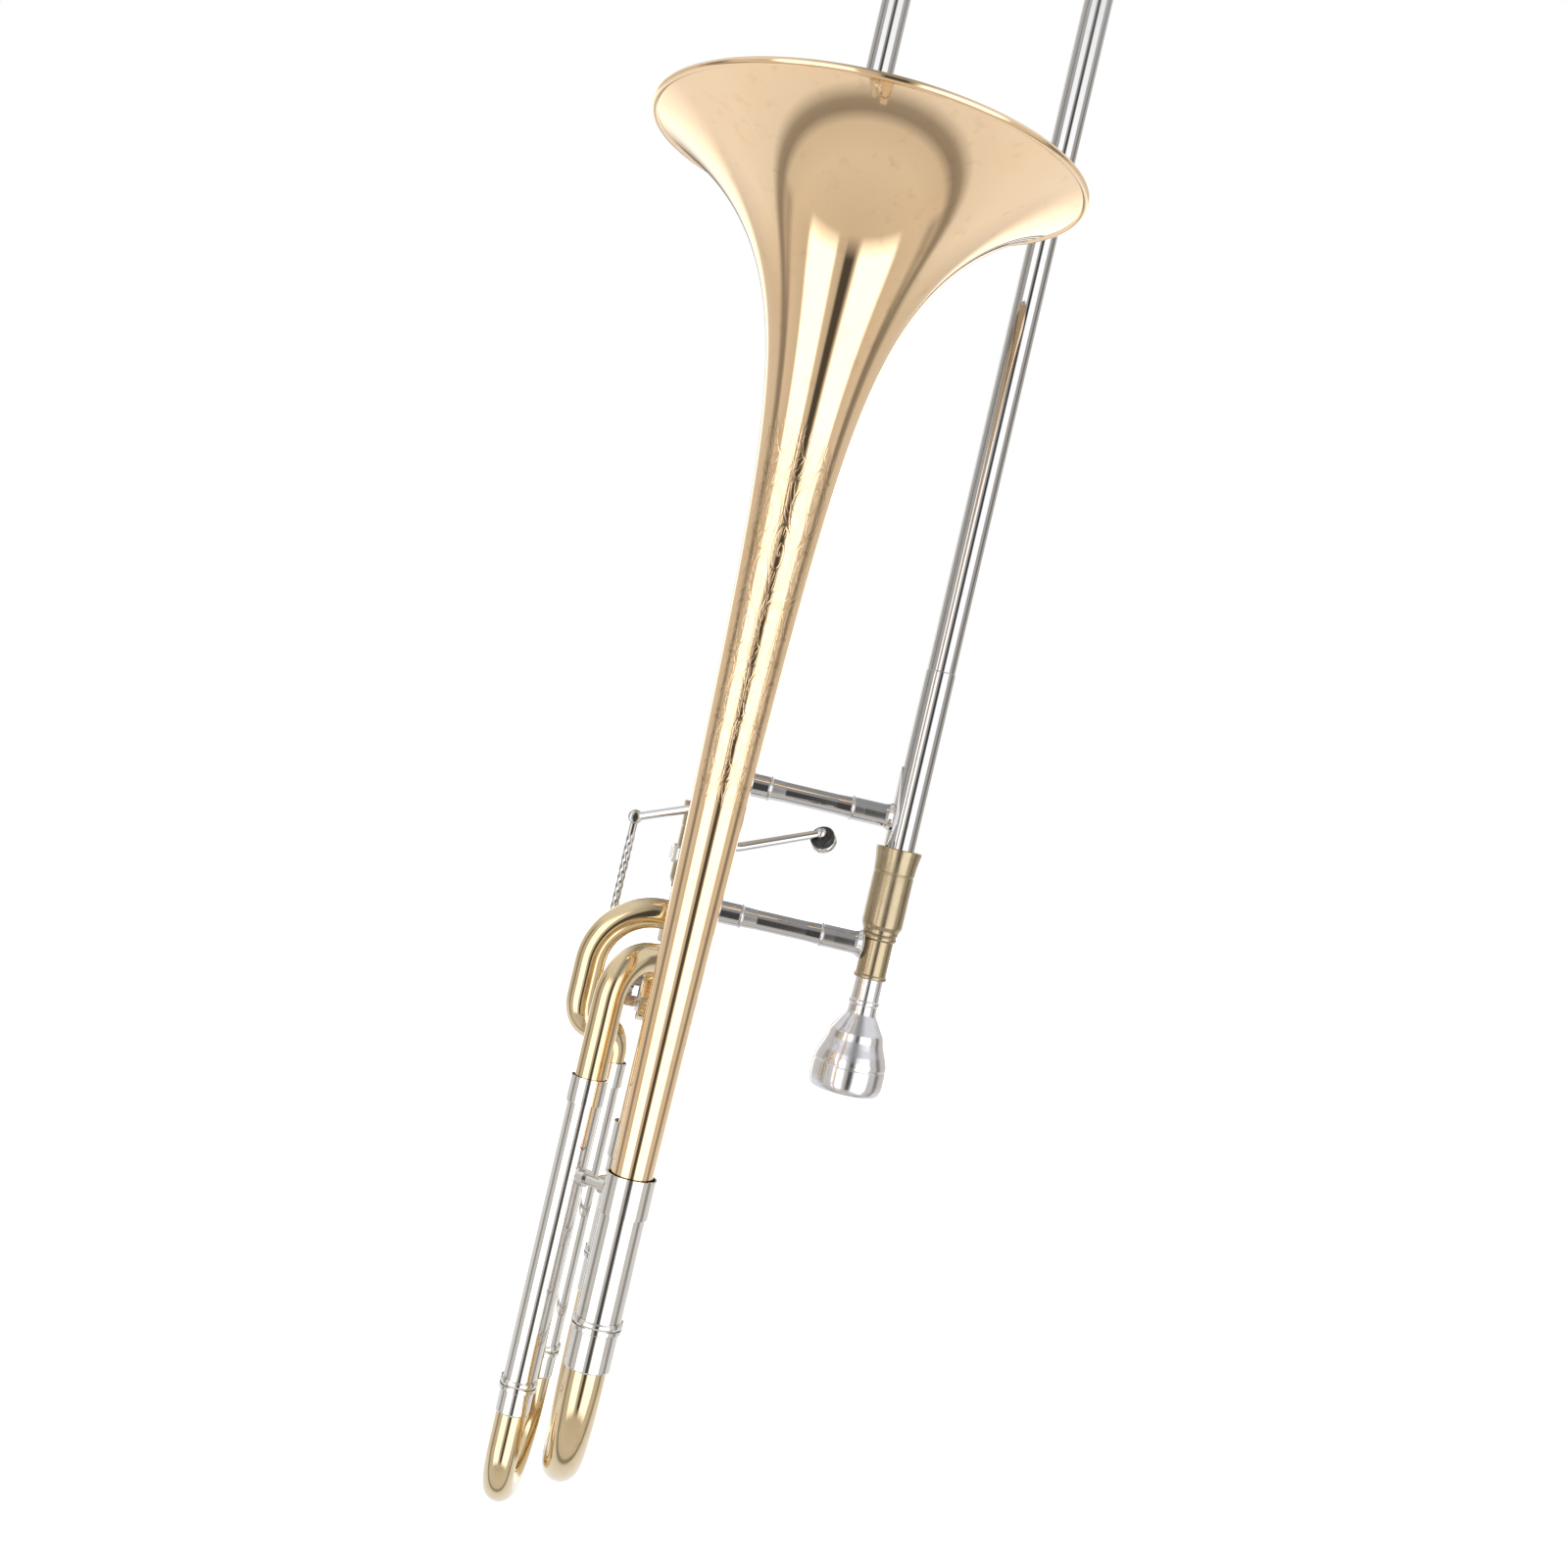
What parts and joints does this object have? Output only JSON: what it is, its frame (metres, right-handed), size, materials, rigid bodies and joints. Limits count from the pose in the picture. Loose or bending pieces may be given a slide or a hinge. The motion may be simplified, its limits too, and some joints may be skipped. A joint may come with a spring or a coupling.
{
  "type": "tenor trombone",
  "caption": "Slide trombone with a flared bell, a thumb-operated rotary valve with its extra loop of tube, tuning slides, hand slide and mouthpiece.",
  "frame": {"origin": "on the neckpipe's axis where the hand slide joins the bell section, at the left hand's grip", "axes": "+Z along the instrument towards the bell's opening and the hand slide's bow; +X from the neckpipe towards the mouthpiece's tube; -Y towards the bell"},
  "size_m": [0.224, 0.236, 1.1088],
  "materials": {
    "bell_gold_brass": "clear lacquer over rose-gold brass, polished",
    "yellow_brass": "clear lacquer over yellow brass, polished",
    "raw_brass": "bare brass, dull satin",
    "nickel_silver": "nickel silver, lacquered and polished",
    "bright_plate": "bright plate, polished",
    "steel": "turned steel",
    "black_knob": "black plastic, gloss",
    "cork": "pressed cork",
    "rubber": "black rubber"
  },
  "bodies": {
    "bell_section": {"bell": "bell_gold_brass", "bell_rim": "bell_gold_brass", "leg_ferrules": "nickel_silver", "bell_leg": "nickel_silver", "neck_leg": "nickel_silver", "leg_rings": "nickel_silver", "tail_brace": "nickel_silver", "neck_receiver": "nickel_silver", "neckpipe": "yellow_brass", "main_tube": "yellow_brass", "grip_brace": "nickel_silver", "lever_post": "nickel_silver", "lever_axle": "steel", "lever_spring": "steel", "valve_casing": "yellow_brass", "valve_bearings": "steel", "valve_cap": "nickel_silver", "stop_plate": "nickel_silver", "stop_corks": "cork", "loop_crook_front": "yellow_brass", "loop_crook_side": "yellow_brass", "loop_leg_front": "nickel_silver", "loop_leg_back": "nickel_silver", "loop_braces": "nickel_silver", "barrel_mouth": "raw_brass", "barrel_bell": "raw_brass", "slide_corks": "cork", "mouth_receiver": "raw_brass", "leadpipe": "yellow_brass", "inner_tube_mouth": "bright_plate", "inner_tube_bell": "bright_plate", "slide_joint": "raw_brass", "inner_brace": "bright_plate"},
    "hand_slide": {"outer_tube_mouth": "bright_plate", "outer_tube_bell": "bright_plate", "slide_sleeves": "bright_plate", "outer_brace": "bright_plate", "bow_ferrules": "nickel_silver", "slide_bow": "nickel_silver", "slide_tip": "rubber", "water_saddle": "nickel_silver", "water_spring": "steel"},
    "water_key": {"water_key": "nickel_silver", "water_pad": "cork"},
    "main_slide": {"main_slide_legs": "nickel_silver", "main_bow_ferrules": "nickel_silver", "main_bow": "yellow_brass", "main_bow_brace": "nickel_silver"},
    "loop_slide": {"loop_slide_legs": "nickel_silver", "loop_bow_ferrules": "nickel_silver", "loop_bow": "yellow_brass"},
    "lever": {"thumb_lever": "bright_plate", "thumb_knob": "black_knob"},
    "link": {"link_rod": "bright_plate"},
    "rotor": {"valve_rotor": "steel", "stop_arm": "steel"},
    "mouthpiece": {"mouthpiece": "bright_plate"},
    "lock_nut": {"lock_nut": "nickel_silver"},
    "slide_lock": {"slide_lock": "nickel_silver"}
  },
  "joints": [
    {"name": "hand_slide_move", "type": "slide", "parent": "bell_section", "child": "hand_slide", "axis": [0, 0, 1], "range_m": [0, 0.6]},
    {"name": "main_slide_pull", "type": "slide", "parent": "bell_section", "child": "main_slide", "axis": [0, 0, -1], "range_m": [0, 0.035]},
    {"name": "loop_slide_pull", "type": "slide", "parent": "bell_section", "child": "loop_slide", "axis": [0, 0, -1], "range_m": [0, 0.09]},
    {"name": "mouthpiece_pull", "type": "slide", "parent": "bell_section", "child": "mouthpiece", "axis": [0, 0, -1], "range_m": [0, 0.03]},
    {"name": "thumb_lever_press", "type": "hinge", "parent": "bell_section", "child": "lever", "pos_m": [0.002, -0.035, 0.05], "axis": [0, 1, 0], "range_deg": [0, 27], "stiffness_Nm_per_rad": 0.25, "springref_deg": -34.38},
    {"name": "link_swing", "type": "hinge", "parent": "lever", "child": "link", "pos_m": [-0.035, -0.00676, 0.0483], "axis": [0, 1, 0], "range_deg": [-26, 1]},
    {"name": "rotor_turn", "type": "hinge", "parent": "bell_section", "child": "rotor", "pos_m": [0, -0.017, -0.032], "axis": [1, 0, 0], "range_deg": [-1, 91]},
    {"name": "water_key_press", "type": "hinge", "parent": "hand_slide", "child": "water_key", "pos_m": [0, -0.0145, 0.7405], "axis": [1, 0, 0], "range_deg": [0, 10], "stiffness_Nm_per_rad": 0.05, "springref_deg": -22.92},
    {"name": "lock_nut_turn", "type": "hinge", "parent": "bell_section", "child": "lock_nut", "pos_m": [0, 0, 0], "axis": [0, 0, 1], "continuous": true},
    {"name": "slide_lock_turn", "type": "hinge", "parent": "bell_section", "child": "slide_lock", "pos_m": [0, 0, 0.0345], "axis": [0, 0, 1], "range_deg": [-30, 0]}
  ],
  "couplings": [
    {"joint": "link_swing", "follows": "thumb_lever_press", "ratio": -0.92},
    {"joint": "rotor_turn", "follows": "thumb_lever_press", "ratio": 3.3333}
  ]
}
